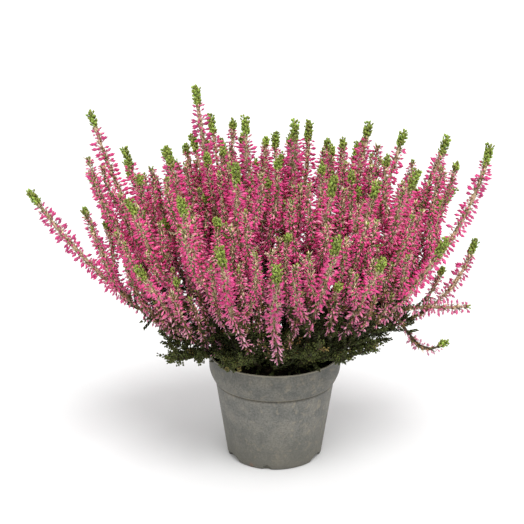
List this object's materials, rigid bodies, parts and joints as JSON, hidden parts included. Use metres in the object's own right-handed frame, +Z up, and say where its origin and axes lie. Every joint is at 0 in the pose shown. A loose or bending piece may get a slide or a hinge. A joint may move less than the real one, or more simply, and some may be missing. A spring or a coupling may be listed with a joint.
{
  "type": "potted heather",
  "caption": "Flowering heather in a round plastic nursery pot: upright shoots of closed pink buds with green leafy tips, dark leafy shoots over the rim, and peat that fills the pot.",
  "frame": {"origin": "centre of the pot's flat underside, on the surface that it stands on", "axes": "+Z up, +X to the right and +Y to the back as the plant is seen from its front"},
  "size_m": [0.3657, 0.2555, 0.309],
  "materials": {
    "pot_plastic": "matte",
    "peat": "matte",
    "buds": "satin",
    "foliage": "satin",
    "stems": "matte"
  },
  "bodies": {
    "root": {"pot": "pot_plastic", "peat": "peat", "flowering_shoot_01": "buds", "flowering_shoot_02": "buds", "flowering_shoot_03": "buds", "flowering_shoot_04": "buds", "flowering_shoot_05": "buds", "flowering_shoot_06": "buds", "flowering_shoot_07": "buds", "flowering_shoot_08": "buds", "flowering_shoot_09": "buds", "flowering_shoot_10": "buds", "flowering_shoot_11": "buds", "flowering_shoot_12": "buds", "flowering_shoot_13": "buds", "flowering_shoot_14": "buds", "flowering_shoot_15": "buds", "flowering_shoot_16": "buds", "flowering_shoot_17": "buds", "flowering_shoot_18": "buds", "flowering_shoot_19": "buds", "flowering_shoot_20": "buds", "flowering_shoot_21": "buds", "flowering_shoot_22": "buds", "flowering_shoot_23": "buds", "flowering_shoot_24": "buds", "flowering_shoot_25": "buds", "flowering_shoot_26": "buds", "flowering_shoot_27": "buds", "flowering_shoot_28": "buds", "flowering_shoot_29": "buds", "flowering_shoot_30": "buds", "flowering_shoot_31": "buds", "flowering_shoot_32": "buds", "flowering_shoot_33": "buds", "flowering_shoot_34": "buds", "flowering_shoot_35": "buds", "flowering_shoot_36": "buds", "flowering_shoot_37": "buds", "leafy_shoot_01": "foliage", "leafy_shoot_02": "foliage", "leafy_shoot_03": "foliage", "leafy_shoot_04": "foliage", "leafy_shoot_05": "foliage", "leafy_shoot_06": "foliage", "leafy_shoot_07": "foliage", "leafy_shoot_08": "foliage", "leafy_shoot_09": "foliage", "leafy_shoot_10": "foliage", "leafy_shoot_11": "foliage", "leafy_shoot_12": "foliage"}
  },
  "joints": []
}
